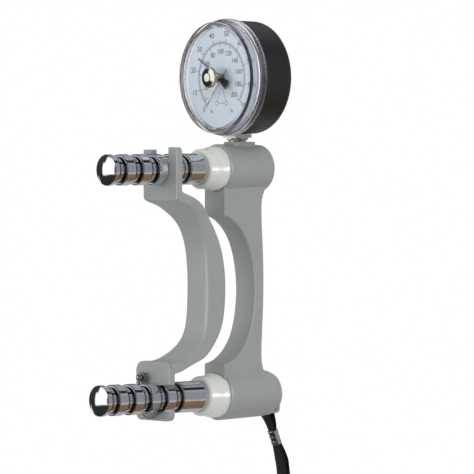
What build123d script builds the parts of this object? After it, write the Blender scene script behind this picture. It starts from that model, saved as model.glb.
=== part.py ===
"""Hydraulic hand dynamometer: two grip posts, an adjustable handle and a dial gauge.

Units are millimetres. +Z runs up the long axis, from the strap end to the gauge.
-Y is the front: the posts' free ends and the dial face it. The origin is on the rear
of the fixed handle, midway between the posts, where the heel of the hand rests.
"""
from build123d import *
import math
import os

os.makedirs("parts", exist_ok=True)

# ---------------------------------------------------------------- driving dimensions
POST_SPACING = 139.7
POST_DIA = 19.05
GROOVE_DIA = 15.9
GROOVE_WIDTH = 5.2
GROOVE_PITCH = 12.7
GROOVES = 5
END_LAND = 6.1
LAND_ROUND = 0.95
END_DOME = 20.0           # radius of the free ends' domes
FRONT = -31.0            # y of the two housings' front faces
UPPER_POST_REACH = 90.0  # from the housing's front face to the post's free end
LOWER_POST_REACH = 95.9
SEAT_GROOVE = 3          # the handle sits in the fourth groove, counted from 0

UPPER_LENGTH = 36.5
LOWER_LENGTH = 44.0
BORE_RADIUS = 11.0
BUSH_LENGTH = 14.5
BUSH_RADIUS = 13.7
BUSH_SPIGOT = 10.0
HANDLE_HALF_WIDTH = 9.35
GALLERY_Y = FRONT + 27.4
PORT_Y = FRONT + 17.0

EAR_THICK = 4.4
EAR_HALF_WIDTH = 16.0
GRIP_HALF_WIDTH = 10.5
SLOT_HALF = 8.15

GAUGE_Z = 126.0
GAUGE_FRONT = FRONT - 1.5
DIAL_Y = FRONT + 5.4
CASE_FRONT = FRONT + 10.2
CASE_BACK = FRONT + 33.4
CASE_RADIUS = 35.4
LENS_RADIUS = 36.3
WINDOW_RADIUS = 31.4
DIAL_RADIUS = 31.6
SOCKET_SIDE = 13.0
BOSS_TOP = 86.3

PINION_TEETH = 10
SECTOR_TEETH = 80
MODULE = 0.3

WEBBING_WIDTH = 9.0
WEBBING_THICK = 1.5

AXIS_Z = POST_SPACING / 2
UPPER = (0, 0, AXIS_Z)
LOWER = (0, 0, -AXIS_Z)
UPPER_END = FRONT - UPPER_POST_REACH
LOWER_END = FRONT - LOWER_POST_REACH


def save(solid, node):
    """Write one sub-part to its STEP file."""
    solid.label = node
    export_step(solid, f"parts/{node}.step")
    return solid


def seat_centre(end_y):
    """y of the middle of the groove that the handle sits in."""
    return end_y + END_LAND + SEAT_GROOVE * GROOVE_PITCH + GROOVE_WIDTH / 2


def rod_y(radius, y0, y1, x=0.0, z=0.0):
    """A cylinder along Y from y0 to y1."""
    return Pos(x, (y0 + y1) / 2, z) * Rot(90, 0, 0) * Cylinder(radius, abs(y1 - y0))


def rod_x(radius, x0, x1, y=0.0, z=0.0):
    """A cylinder along X from x0 to x1."""
    return Pos((x0 + x1) / 2, y, z) * Rot(0, 90, 0) * Cylinder(radius, abs(x1 - x0))


def rod_z(radius, z0, z1, x=0.0, y=0.0):
    """A cylinder along Z from z0 to z1."""
    return Pos(x, y, (z0 + z1) / 2) * Cylinder(radius, abs(z1 - z0))


def block(x0, x1, y0, y1, z0, z1):
    """A box between two corners."""
    return Pos((x0 + x1) / 2, (y0 + y1) / 2, (z0 + z1) / 2) * Box(x1 - x0, y1 - y0, z1 - z0)


def turned(profile, z=0.0):
    """Revolve (radius, y) points about the line through (0, y, z) along Y."""
    face = make_face(Polyline(*[(r, y) for r, y in profile], close=True))
    return Pos(0, 0, z) * revolve(face, Axis.Y, 360)


def side_shape(edges, half_width):
    """Extrude a closed outline drawn in the YZ plane to both sides of X = 0."""
    return extrude(Plane.YZ * make_face(edges), half_width, both=True)


def outer_edge(solid, axis, last=True):
    """The edge of a turned solid that lies furthest along an axis."""
    return solid.edges().sort_by(axis)[-1 if last else 0]


# ---------------------------------------------------------------- body casting
def housing(length, front_radius, rear_radius, z, rear_round):
    """A tapered cylinder with a softened front rim and a rounded rear rim."""
    rim = 0.6
    profile = [(0, FRONT), (front_radius - rim, FRONT), (front_radius, FRONT + rim),
               (rear_radius, FRONT + length), (0, FRONT + length)]
    solid = turned(profile, z)
    return fillet(outer_edge(solid, Axis.Y), rear_round)


def fixed_handle():
    """The bowed palm handle: a D shape from the side, flat on both flanks."""
    top = AXIS_Z - 6
    bow = [(FRONT - 1.4, -50.2), (FRONT + 4.9, -48.2), (FRONT + 11.2, -43.6),
           (FRONT + 17.4, -35.4), (FRONT + 22.0, -21.0), (FRONT + 23.5, -5.0),
           (FRONT + 21.8, 11.0), (FRONT + 17.0, 25.4), (FRONT + 10.6, 34.0),
           (FRONT + 4.6, 38.6), (FRONT - 1.4, 40.8)]
    palm = [(FRONT + 32.8, 57.5), (FRONT + 30.2, 52.0), (FRONT + 29.4, 42.0),
            (FRONT + 30.5, 20.0), (FRONT + 31.0, 0.0), (FRONT + 30.5, -20.0),
            (FRONT + 29.4, -42.0), (FRONT + 30.2, -52.0), (FRONT + 32.8, -57.5)]
    front_line = Spline(*bow)
    rear_line = Spline(*palm)
    outline = [front_line,
               Polyline(bow[-1], (FRONT - 1.4, top), (palm[0][0], top), palm[0]),
               rear_line,
               Polyline(palm[-1], (palm[-1][0], -top), (FRONT - 1.4, -top), bow[0])]
    return side_shape(outline, HANDLE_HALF_WIDTH)


def body_casting():
    """Upper housing, fixed handle, lower housing, gauge boss and strap lug, in one casting."""
    upper = housing(UPPER_LENGTH, 15.2, 14.4, AXIS_Z, 2.6)
    lower = housing(LOWER_LENGTH - 4, 15.4, 14.1, -AXIS_Z, 1.2)
    end_cap = fillet(outer_edge(rod_y(12.9, FRONT + 30, FRONT + LOWER_LENGTH, z=-AXIS_Z), Axis.Y), 2.4)
    boss = block(-5.6, 5.6, FRONT + 10.4, FRONT + 27.2, AXIS_Z, BOSS_TOP)
    boss = fillet(boss.edges().filter_by(Axis.Z), 1.0)
    lug = block(-7.5, 7.5, FRONT + 33.5, FRONT + 45.4, -AXIS_Z - 12.3, -AXIS_Z - 3)
    lug = fillet(lug.edges().filter_by(Axis.X).sort_by(Axis.Z)[:2], 2.6)
    handle = fixed_handle()
    handle = fillet(handle.edges().filter_by(lambda e: e.length > 80), 1.2)
    body = upper + lower + end_cap + boss + lug + handle
    # the housings' front faces stay clear for the bushings
    body -= rod_y(BUSH_RADIUS + 0.3, FRONT - 4, FRONT, z=AXIS_Z)
    body -= rod_y(BUSH_RADIUS + 0.3, FRONT - 4, FRONT, z=-AXIS_Z)
    # bushing seats, piston bores and pressure chambers
    body -= rod_y(BORE_RADIUS + 1.0, FRONT - 1, FRONT + 6, z=AXIS_Z)
    body -= rod_y(BORE_RADIUS + 1.0, FRONT - 1, FRONT + 6, z=-AXIS_Z)
    body -= rod_y(BORE_RADIUS, FRONT, FRONT + 31, z=AXIS_Z)
    body -= rod_y(BORE_RADIUS, FRONT, FRONT + 34, z=-AXIS_Z)
    # plugged service hole in the lower housing's rear, and the oil gallery up the handle
    body -= rod_y(5.0, FRONT + 34, FRONT + LOWER_LENGTH + 1, z=-AXIS_Z)
    body -= rod_y(7.2, FRONT + LOWER_LENGTH - 2.2, FRONT + LOWER_LENGTH + 2, z=-AXIS_Z)
    body -= rod_z(1.5, -AXIS_Z, AXIS_Z, y=GALLERY_Y)
    # threaded port for the gauge, then the strap slot and its cross hole
    body -= rod_z(4.9, AXIS_Z + 8, BOSS_TOP + 1, y=PORT_Y)
    body -= block(-5.0, 5.0, FRONT + 36.2, FRONT + 47, -AXIS_Z - 18, -AXIS_Z - 5.5)
    body -= rod_x(1.1, -9, 9, FRONT + 41.2, -AXIS_Z - 9.6)
    return body


# ---------------------------------------------------------------- bushings, posts, seals
def bushing(z):
    """Nylon guide bush: a stepped nose in front of the housing and a spigot inside it."""
    nose = [(POST_DIA / 2 + 0.06, FRONT - BUSH_LENGTH), (11.4, FRONT - BUSH_LENGTH),
            (12.3, FRONT - BUSH_LENGTH + 0.9), (12.5, FRONT - 8.4), (13.4, FRONT - 5.4),
            (BUSH_RADIUS, FRONT - 4.2), (BUSH_RADIUS, FRONT), (BORE_RADIUS + 0.98, FRONT),
            (BORE_RADIUS + 0.98, FRONT + 6), (POST_DIA / 2 + 0.06, FRONT + 6)]
    return turned(nose, z)


def post(end_y, inner_y, z):
    """Grooved post with a domed free end, rounded lands and a piston head inside the housing."""
    r = POST_DIA / 2
    points = [(0, end_y), (r, end_y)]
    floor = GROOVE_DIA / 2
    for k in range(GROOVES):
        start = end_y + END_LAND + k * GROOVE_PITCH
        points += [(r, start), (floor, start), (floor, start + GROOVE_WIDTH), (r, start + GROOVE_WIDTH)]
    head = BORE_RADIUS - 0.05
    gland = 9.2
    points += [(r, inner_y - 8), (head, inner_y - 8), (head, inner_y - 5.6), (gland, inner_y - 5.6),
               (gland, inner_y - 2.6), (head, inner_y - 2.6), (head, inner_y), (0, inner_y)]
    rod = turned(points, z)
    last_groove = end_y + END_LAND + (GROOVES - 1) * GROOVE_PITCH + GROOVE_WIDTH
    shoulders = rod.edges().filter_by(GeomType.CIRCLE).filter_by(
        lambda e: abs(e.radius - r) < 0.01 and end_y + 1 < e.center().Y < last_groove + 1)
    rod = fillet(shoulders, LAND_ROUND)
    dome = Pos(0, end_y + END_DOME, z) * Sphere(END_DOME)
    rod -= rod_y(r + 1, end_y - 1, end_y + 2.6, z=z) - dome
    rim = rod.edges().filter_by(GeomType.CIRCLE).sort_by(Axis.Y)[0]
    return fillet(rim, 0.5)


def piston_seal(inner_y, z):
    """O-ring in the piston head's gland."""
    ring = Pos(0, inner_y - 4.1, z) * Rot(90, 0, 0) * Torus(10.1, 0.88)
    return ring


def return_spring(y0, y1, z):
    """Compression spring between the piston head and the chamber's end wall."""
    wire = 0.8
    length = y1 - y0 - 2 * wire
    path = Helix(pitch=length / 3, height=length, radius=6.0)
    coil = sweep(Plane(path @ 0, z_dir=path % 0) * Circle(wire), path)
    return Pos(0, y1 - wire, z) * Rot(90, 0, 0) * coil


UPPER_INNER = FRONT + 15.0
LOWER_INNER = FRONT + 15.0


# ---------------------------------------------------------------- adjustable handle
def ear_blank(y_mid, z0, z1, low_corner, top_corner, dz_far=0.0):
    """A flat ear plate, rounded at its corners and softened round its front face."""
    plate = block(-EAR_HALF_WIDTH, EAR_HALF_WIDTH, y_mid - EAR_THICK / 2, y_mid + EAR_THICK / 2, z0, z1)
    plate = fillet(plate.edges().filter_by(Axis.Y).sort_by(Axis.Z)[:2], low_corner)
    plate = fillet(plate.edges().filter_by(Axis.Y).sort_by(Axis.Z)[-2:], top_corner)
    plate = fillet(plate.faces().sort_by(Axis.Y)[0].edges(), 0.9)
    if dz_far:
        plate -= block(-EAR_HALF_WIDTH - 1, 0, y_mid - 5, y_mid + 5, z1 - dz_far, z1 + 1)
    return plate


def grip_bow(upper_y, lower_y):
    """The bowed grip and its two slanted arms, narrower at the waist than at the ears.

    Each station gives the front point and the rear point as (y, z), then the half width
    and the corner radius of the section between them.
    """
    f = FRONT
    w, g = EAR_HALF_WIDTH, GRIP_HALF_WIDTH
    stations = [
        ((lower_y, -48.4), (lower_y, -56.0), w, 0.9),
        ((f - 43.0, -47.9), (f - 43.2, -53.9), w, 1.4),
        ((f - 36.4, -47.0), (f - 37.6, -52.1), w - 0.3, 1.6),
        ((f - 30.4, -44.1), (f - 27.6, -48.6), w - 1.9, 1.7),
        ((f - 25.5, -40.2), (f - 18.6, -45.6), g + 1.6, 2.0),
        ((f - 20.9, -34.4), (f - 10.6, -39.4), g + 0.5, 3.0),
        ((f - 18.2, -26.2), (f - 3.6, -29.6), g, 3.8),
        ((f - 17.0, -12.0), (f + 0.3, -13.4), g - 0.2, 4.2),
        ((f - 16.9, 1.0), (f + 0.7, 1.0), g - 0.3, 4.2),
        ((f - 17.6, 15.0), (f - 1.8, 17.4), g - 0.2, 4.0),
        ((f - 20.0, 27.4), (f - 7.6, 31.0), g, 3.4),
        ((f - 24.6, 37.2), (f - 14.4, 40.6), g + 0.8, 2.6),
        ((f - 30.2, 43.4), (f - 22.0, 48.4), w - 2.4, 1.9),
        ((f - 35.2, 47.2), (f - 31.2, 53.2), w - 0.5, 1.6),
        ((f - 39.6, 49.0), (f - 38.2, 55.6), w, 1.4),
        ((upper_y, 50.4), (upper_y, 59.6), w, 0.9),
    ]
    sections = []
    for front, rear, half, corner in stations:
        dy, dz = rear[0] - front[0], rear[1] - front[1]
        middle = (0, (front[0] + rear[0]) / 2, (front[1] + rear[1]) / 2)
        plane = Plane(middle, x_dir=(1, 0, 0), z_dir=(0, -dz, dy))
        sections.append(plane * RectangleRounded(2 * half, math.hypot(dy, dz), corner))
    return loft(sections)


def adjustable_handle():
    """Ears, slanted arms and grip in one casting, with a fork above and a side hook below."""
    upper_y = seat_centre(UPPER_END)
    lower_y = seat_centre(LOWER_END)
    upper_ear = ear_blank(upper_y, AXIS_Z - 19.2, AXIS_Z + 13.7, 2.4, 2.8, 1.7)
    lower_ear = ear_blank(lower_y, -AXIS_Z - 13.5, -AXIS_Z + 22.6, 4.2, 6.0)
    handle = grip_bow(upper_y, lower_y) + upper_ear + lower_ear
    # fork: a round seat open upwards
    handle -= rod_y(SLOT_HALF, upper_y - 8, upper_y + 8, z=AXIS_Z)
    handle -= block(-SLOT_HALF, SLOT_HALF, upper_y - 8, upper_y + 8, AXIS_Z, AXIS_Z + 20)
    # hook: a slot open to +X that follows the handle's swing about the upper post
    inner = POST_SPACING - SLOT_HALF
    ring = rod_y(POST_SPACING + SLOT_HALF, lower_y - 8, lower_y + 8, z=AXIS_Z)
    ring -= rod_y(inner, lower_y - 9, lower_y + 9, z=AXIS_Z)
    slot = ring & block(0, 40, lower_y - 8, lower_y + 8, -AXIS_Z - 20, -AXIS_Z + 30)
    handle -= slot
    handle -= rod_y(SLOT_HALF, lower_y - 8, lower_y + 8, z=-AXIS_Z)
    # seat for the clip's rivet
    handle -= rod_y(1.2, lower_y - 8, lower_y + 8, x=CLIP_X, z=CLIP_Z)
    return handle


# ---------------------------------------------------------------- wire clip
CLIP_X = -6.2
CLIP_Z = -AXIS_Z + 12.7
CLIP_WIRE = 0.7
CLIP_COIL = 2.6
LOWER_EAR_FACE = seat_centre(LOWER_END) - EAR_THICK / 2


def handle_clip():
    """Spring wire: three closed turns round the rivet, then a leg that passes under the post."""
    pitch = 1.94 * CLIP_WIRE
    y = LOWER_EAR_FACE - 0.25 - CLIP_WIRE
    clip = Pos(CLIP_X, y, CLIP_Z) * Rot(90, 0, 0) * Torus(CLIP_COIL, CLIP_WIRE)
    for k in (1, 2):
        clip += Pos(CLIP_X, y - k * pitch, CLIP_Z) * Rot(90, 0, 0) * Torus(CLIP_COIL, CLIP_WIRE)
    y -= 2 * pitch

    def at(radius, degrees):
        """A point on the leg, given about the post's axis."""
        a = math.radians(degrees)
        return (radius * math.cos(a), y, -AXIS_Z + radius * math.sin(a))

    bends = [(CLIP_X - CLIP_COIL, y, CLIP_Z), (CLIP_X - CLIP_COIL, y, CLIP_Z - 2), at(11.7, 175),
             at(12.0, 212), at(12.1, 252), at(12.5, 292), at(13.2, 321), at(16.4, 331)]
    leg = FilletPolyline(*bends, radius=route_radii(bends))
    clip += sweep(Plane(leg @ 0, z_dir=leg % 0) * Circle(CLIP_WIRE - 0.05), leg)
    return clip


def clip_rivet():
    """Domed rivet that carries the clip on the lower ear."""
    y = LOWER_EAR_FACE
    rivet = rod_y(1.2, y - 5.0, y + EAR_THICK, x=CLIP_X, z=CLIP_Z)
    dome = Pos(CLIP_X, y - 5.0, CLIP_Z) * Sphere(2.2)
    dome -= block(CLIP_X - 3, CLIP_X + 3, y - 5.0, y, CLIP_Z - 3, CLIP_Z + 3)
    return rivet + dome


# ---------------------------------------------------------------- gauge
def gauge_socket():
    """Threaded stem, square wrench flats and the block that carries tube and movement."""
    half = SOCKET_SIDE / 2
    flats = block(-half, half, PORT_Y - half, PORT_Y + half, BOSS_TOP + 1.0, 93.2)
    flats -= rod_y(CASE_RADIUS + 0.1, PORT_Y - 20, PORT_Y + 20, z=GAUGE_Z)
    flats = chamfer(flats.edges().filter_by(Axis.Z), 0.5)
    cone = Pos(0, PORT_Y, BOSS_TOP + 1.0 + 4) * Cone(half - 0.2, half + 3.4, 8)
    flats = flats & (cone + rod_z(half * 1.5, BOSS_TOP + 2.6, 94, y=PORT_Y))
    stem = rod_z(4.85, AXIS_Z + 14.0, BOSS_TOP + 1.0, y=PORT_Y)
    neck = rod_z(4.6, BOSS_TOP + 2.0, 97.0, y=PORT_Y)
    inner = block(-7.5, 7.5, PORT_Y - 4.5, PORT_Y + 4.5, 96.4, 108.0)
    socket = flats + stem + neck + inner
    return socket - rod_z(1.2, AXIS_Z + 12, 103.0, y=PORT_Y)


def socket_washer():
    """Sealing washer between the boss and the wrench flats."""
    return rod_z(5.4, BOSS_TOP, BOSS_TOP + 1.0, y=PORT_Y) - rod_z(4.9, BOSS_TOP - 1, BOSS_TOP + 2, y=PORT_Y)


def gauge_case():
    """Black moulded cup with a spigot for the lens cover."""
    wall = 2.2
    spigot = CASE_RADIUS - 2.3
    outer = [(0, CASE_BACK), (CASE_RADIUS - 0.8, CASE_BACK), (CASE_RADIUS, CASE_FRONT),
             (spigot, CASE_FRONT), (spigot, CASE_FRONT - 3.6), (spigot - wall, CASE_FRONT - 3.6),
             (spigot - wall, CASE_BACK - wall), (0, CASE_BACK - wall)]
    case = turned(outer, GAUGE_Z)
    rim = case.edges().filter_by(GeomType.CIRCLE).sort_by(Axis.Y)[-2:].sort_by(SortBy.LENGTH)[-1]
    case = fillet(rim, 4.6)
    case -= rod_z(4.7, 88, 97, y=PORT_Y)
    case -= rod_y(4.0, CASE_BACK - 4, CASE_BACK + 1, z=GAUGE_Z + 15)
    return case


def dial_plate():
    """Printed dial, held by two small screws."""
    dial = rod_y(DIAL_RADIUS, DIAL_Y, DIAL_Y + 0.8, z=GAUGE_Z)
    dial -= rod_y(2.6, DIAL_Y - 1, DIAL_Y + 2, z=GAUGE_Z)
    for x in (-9.0, 9.0):
        dial -= rod_y(1.0, DIAL_Y - 1, DIAL_Y + 2, x=x, z=GAUGE_Z - 9.0)
    return dial


def dial_screws():
    """Two cheese-head screws that hold the dial to the movement."""
    screws = []
    for x in (-9.0, 9.0):
        head = rod_y(1.7, DIAL_Y - 0.7, DIAL_Y, x=x, z=GAUGE_Z - 9.0)
        shank = rod_y(0.95, DIAL_Y, DIAL_Y + 3.4, x=x, z=GAUGE_Z - 9.0)
        slot = block(x - 2, x + 2, DIAL_Y - 1, DIAL_Y - 0.35, GAUGE_Z - 9.2, GAUGE_Z - 8.8)
        screws.append(head + shank - slot)
    return Compound(children=screws)


def lens_cover():
    """Clear snap-on cover: a recessed window inside a raised rim, and a flared side wall."""
    y = GAUGE_FRONT
    flange = CASE_RADIUS - 2.2
    profile = [(2.1, y + 0.9), (WINDOW_RADIUS - 0.6, y + 0.9), (WINDOW_RADIUS, y + 0.3),
               (WINDOW_RADIUS + 0.5, y), (33.6, y), (34.5, y + 0.9), (34.9, y + 5.0),
               (35.5, y + 5.6), (LENS_RADIUS, CASE_FRONT - 2.6), (LENS_RADIUS, CASE_FRONT - 0.1),
               (flange, CASE_FRONT - 0.1), (flange, CASE_FRONT - 4.0), (32.4, CASE_FRONT - 4.0),
               (WINDOW_RADIUS + 0.6, y + 3.1), (2.1, y + 3.1)]
    return turned(profile, GAUGE_Z)


def lens_gasket():
    """Rubber ring between the case spigot and the lens cover."""
    y0 = CASE_FRONT - 3.9
    return turned([(31.2, y0), (32.9, y0), (32.9, y0 + 0.3), (31.2, y0 + 0.3)], GAUGE_Z)


def knob_bush():
    """Brass bush pressed into the window for the reset shaft."""
    y = GAUGE_FRONT
    profile = [(1.05, y - 0.1), (3.4, y - 0.1), (3.4, y + 0.9), (2.1, y + 0.9), (2.1, y + 3.1),
               (3.0, y + 3.1), (3.0, y + 3.7), (1.05, y + 3.7)]
    return turned(profile, GAUGE_Z)


KNOB_FRONT = FRONT - 7.7
PEAK_Y = FRONT + 2.9
POINTER_Y = FRONT + 4.3
ZERO_ANGLE = 230.5        # where zero sits on the dial, anticlockwise from +X seen from the front
PEAK_ANGLE = 148.6       # where the peak hand points, anticlockwise from +X seen from the front


def hand(length, root_width, tip_width, y0, y1, hub, tail, tail_width, angle):
    """A flat dial hand with a hub and a broad tail, turned to an angle."""
    outline = Polyline((length, tip_width / 2), (hub * 0.8, root_width / 2), (hub * 0.8, -root_width / 2),
                       (length, -tip_width / 2), close=True)
    blade = make_face(outline)
    boss = Circle(hub)
    back = make_face(Polyline((0, root_width / 2), (0, -root_width / 2), (-tail, -tail_width / 2),
                              (-tail - 1.2, 0), (-tail, tail_width / 2), close=True))
    flat = blade + boss + back
    body = extrude(Plane.XZ * Rot(0, 0, angle) * flat, y0 - y1)
    return Pos(0, y0, GAUGE_Z) * body


def peak_hand():
    """The hand that stays at the highest reading."""
    return hand(22.4, 1.7, 0.7, PEAK_Y - 0.25, PEAK_Y + 0.25, 2.4, 9.4, 6.4, PEAK_ANGLE)


def pointer():
    """The hand that follows the pressure."""
    blade = hand(21.0, 1.3, 0.5, POINTER_Y - 0.2, POINTER_Y + 0.2, 2.0, 6.0, 2.6, ZERO_ANGLE)
    return blade - rod_y(0.6, POINTER_Y - 1, POINTER_Y + 1, z=GAUGE_Z)


def reset_shaft():
    """Shaft that joins the knob to the peak hand."""
    shaft = rod_y(1.0, GAUGE_FRONT - 1.2, PEAK_Y - 0.25, z=GAUGE_Z)
    return shaft


def reset_knob():
    """Turned knob with a raised centre, a sloping ring round it and a knurled edge."""
    y = KNOB_FRONT
    profile = [(0, y), (2.5, y), (3.0, y + 0.3), (5.5, y + 1.0), (6.0, y + 1.1), (6.3, y + 1.4), (6.3, y + 3.0),
               (5.7, y + 3.5), (3.3, y + 3.6), (2.7, y + 4.4), (2.7, GAUGE_FRONT - 0.3),
               (1.0, GAUGE_FRONT - 0.3), (1.0, GAUGE_FRONT - 1.2), (0, GAUGE_FRONT - 1.2)]
    knob = turned(profile, GAUGE_Z)
    notches = 36
    for k in range(notches):
        a = 2 * math.pi * k / notches
        knob -= rod_y(0.22, y + 1.6, y + 2.7, x=6.35 * math.cos(a), z=GAUGE_Z + 6.35 * math.sin(a))
    return knob


# ---------------------------------------------------------------- gauge movement
PINION_RADIUS = MODULE * PINION_TEETH / 2
SECTOR_RADIUS = MODULE * SECTOR_TEETH / 2
SECTOR_PIVOT_Z = GAUGE_Z - PINION_RADIUS - SECTOR_RADIUS
TAIL = 5.0
TIP_PIN_X = 15.6
TIP_PIN_Z = SECTOR_PIVOT_Z + 5.9
GEAR_Y0 = DIAL_Y + 5.0
GEAR_Y1 = DIAL_Y + 6.6


def toothed_disc(teeth, y0, y1, first_angle, kept):
    """A spur gear's teeth on a disc; kept is how many of them are cut, from the first one."""
    pitch_radius = MODULE * teeth / 2
    root = pitch_radius - 0.42
    tip = pitch_radius + 0.22
    step = 2 * math.pi / teeth
    gear = Circle(root)
    for k in range(kept):
        a = first_angle + k * step
        corners = []
        for radius, share in ((root - 0.2, 0.24), (pitch_radius, 0.19), (tip, 0.09)):
            corners.append((radius, share * step))
        loop = [(r * math.cos(a - w), r * math.sin(a - w)) for r, w in corners]
        loop += [(r * math.cos(a + w), r * math.sin(a + w)) for r, w in reversed(corners)]
        gear += make_face(Polyline(*loop, close=True))
    return extrude(Plane.XZ * gear, y0 - y1).moved(Location((0, y0, 0)))


def pointer_arbor():
    """Pinion and arbor that carry the pointer."""
    step = 2 * math.pi / PINION_TEETH
    pinion = toothed_disc(PINION_TEETH, GEAR_Y0 - 0.3, GEAR_Y1 + 0.3, math.pi / 2 + step / 2, PINION_TEETH)
    pinion = Pos(0, 0, GAUGE_Z) * pinion
    arbor = rod_y(0.6, POINTER_Y - 0.5, DIAL_Y + 9.4, z=GAUGE_Z)
    return pinion + arbor


def sector_gear():
    """Toothed sector, its arbor and the tail that carries the link."""
    step = 2 * math.pi / SECTOR_TEETH
    kept = 15
    teeth_past_mesh = 3
    first = math.pi / 2 - (kept - 1 - teeth_past_mesh) * step
    disc = toothed_disc(SECTOR_TEETH, GEAR_Y0, GEAR_Y1, first, kept)
    wedge = Polyline((0, -2.5), (-7.2, 14.5), (13.4, 10.2), (2.6, -2.5), close=True)
    keep = extrude(Plane.XZ * make_face(wedge), -30, both=True)
    hub = rod_y(2.6, GEAR_Y0, GEAR_Y1)
    tail = block(0, TAIL + 1.2, GEAR_Y0, GEAR_Y1, -1.2, 1.2)
    arbor = rod_y(0.6, DIAL_Y + 3.4, DIAL_Y + 9.4)
    pin = rod_y(0.5, GEAR_Y1, GEAR_Y1 + 1.4, x=TAIL)
    window = rod_y(1.8, GEAR_Y0 - 1, GEAR_Y1 + 1, x=1.4, z=6.2)
    return Pos(0, 0, SECTOR_PIVOT_Z) * ((disc & keep) + hub + tail + arbor + pin - window)


def movement_link():
    """Link from the sector's tail to the tube's tip, with an easy eye round the tip's pin."""
    y0 = GEAR_Y1 + 0.3
    y1 = GEAR_Y1 + 1.1
    length = math.hypot(TIP_PIN_X - TAIL, TIP_PIN_Z - SECTOR_PIVOT_Z)
    angle = math.degrees(math.atan2(TIP_PIN_Z - SECTOR_PIVOT_Z, TIP_PIN_X - TAIL))
    link = block(0, length, y0, y1, -0.8, 0.8) + rod_y(1.3, y0, y1) + rod_y(1.8, y0, y1, x=length)
    link -= rod_y(0.55, y0 - 1, y1 + 1)
    link -= rod_y(1.15, y0 - 1, y1 + 1, x=length)
    return Pos(TAIL, 0, SECTOR_PIVOT_Z) * Rot(0, -angle, 0) * link


def movement_plates():
    """Two brass plates on pillars, with bearings for both arbors."""
    low, high = GAUGE_Z - 16.4, GAUGE_Z + 4.0
    plates = block(-10.4, 10.4, DIAL_Y + 3.4, DIAL_Y + 4.4, low, high)
    plates += block(-10.4, 10.4, DIAL_Y + 8.4, DIAL_Y + 9.4, low, high)
    for x in (-9.2, 9.2):
        for z in (low + 1.3, high - 1.8):
            plates += rod_y(1.0, DIAL_Y + 4.0, DIAL_Y + 9.0, x=x, z=z)
    for x in (-9.0, 9.0):
        plates -= rod_y(0.95, DIAL_Y, DIAL_Y + 6, x=x, z=GAUGE_Z - 9.0)
    plates -= rod_y(0.65, DIAL_Y, DIAL_Y + 12, z=GAUGE_Z)
    plates -= rod_y(0.65, DIAL_Y, DIAL_Y + 12, z=SECTOR_PIVOT_Z)
    return plates


def bourdon_tube():
    """Flattened C-shaped tube from the socket block round to its closed tip."""
    radius = 22.0
    y = PORT_Y + 0.6
    arc_path = CenterArc((0, 0), radius, 250.0, -262.0)
    path = Plane((0, y, GAUGE_Z), x_dir=(1, 0, 0), z_dir=(0, -1, 0)) * arc_path
    section = Plane(path @ 0, x_dir=(0, 1, 0), z_dir=path % 0) * Ellipse(4.2, 1.4)
    tube = sweep(section, path) - block(-7.5, 7.5, y - 6, y + 6, 100.0, 108.2)
    foot = block(-10.6, -7.5, y - 4.3, y + 3.9, 102.4, 107.8)
    lug = block(TIP_PIN_X - 1.2, 23.2, y - 4.3, y - 3.1, TIP_PIN_Z - 1.3, TIP_PIN_Z + 1.3)
    cap = block(20.2, 23.2, y - 4.3, y + 4.3, TIP_PIN_Z - 1.3, TIP_PIN_Z + 3.6)
    pin = rod_y(0.5, GEAR_Y1 - 0.4, y - 4.0, x=TIP_PIN_X, z=TIP_PIN_Z)
    return tube + foot + lug + cap + pin


def relief_plug():
    """Rubber blow-out plug in the back of the case."""
    z = GAUGE_Z + 15
    plug = rod_y(3.95, CASE_BACK - 2.6, CASE_BACK + 0.4, z=z)
    return plug + rod_y(5.2, CASE_BACK, CASE_BACK + 1.0, z=z)


# ---------------------------------------------------------------- plug, pin and strap
def rear_plug():
    """Threaded service plug with a hexagon socket, in the lower housing's rear."""
    y1 = FRONT + LOWER_LENGTH
    plug = rod_y(4.95, y1 - 9.0, y1 - 2.2, z=-AXIS_Z) + rod_y(6.9, y1 - 2.2, y1 - 0.4, z=-AXIS_Z)
    socket = Pos(0, y1 - 0.4, -AXIS_Z) * extrude(Plane.XZ * RegularPolygon(2.9, 6), 4.0, both=True)
    return plug - (socket & rod_y(6, y1 - 4.4, y1 + 1, z=-AXIS_Z))


PIN_Y = FRONT + 41.2
PIN_Z = -AXIS_Z - 9.6


def strap_pin():
    """Hollow steel cross pin for the wrist strap, sunk in the lug."""
    return rod_x(1.08, -5.4, 5.4, PIN_Y, PIN_Z) - rod_x(0.6, -7, 7, PIN_Y, PIN_Z)


CRIMP_TOP = (0.0, FRONT + 45.9, -93.2)
CRIMP_END = (0.0, FRONT + 49.6, -102.0)


def webbing(path):
    """Flat strip along a path that lies in the YZ plane."""
    strip = RectangleRounded(WEBBING_WIDTH, WEBBING_THICK, WEBBING_THICK * 0.35)
    return sweep(Plane(path @ 0, x_dir=(1, 0, 0), z_dir=path % 0) * strip, path)


def strap_anchor_loop():
    """The short loop over the pin, its two ends gathered at the crimp."""
    r = 1.08 + 0.15 + WEBBING_THICK / 2
    x, y, z = CRIMP_TOP
    points = [(0, y - 0.7, z - 1.2), (0, PIN_Y - r + 0.5, PIN_Z - 6.0),
              (0, PIN_Y - r, PIN_Z + r), (0, PIN_Y + r, PIN_Z + r),
              (0, PIN_Y + r + 0.6, PIN_Z - 6.0), (0, y + 1.1, z - 1.2)]
    path = FilletPolyline(*points, radius=[6.0, r - 0.02, r - 0.02, 6.0])
    return webbing(path) - strap_crimp()


def strap_crimp():
    """Flattened metal ferrule, its inside filled by the gathered webbing."""
    path = Line(CRIMP_TOP, CRIMP_END)
    section = Plane(path @ 0, x_dir=(1, 0, 0), z_dir=path % 0) * RectangleRounded(6.6, 5.6, 2.4)
    return extrude(section, path.length)


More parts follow.
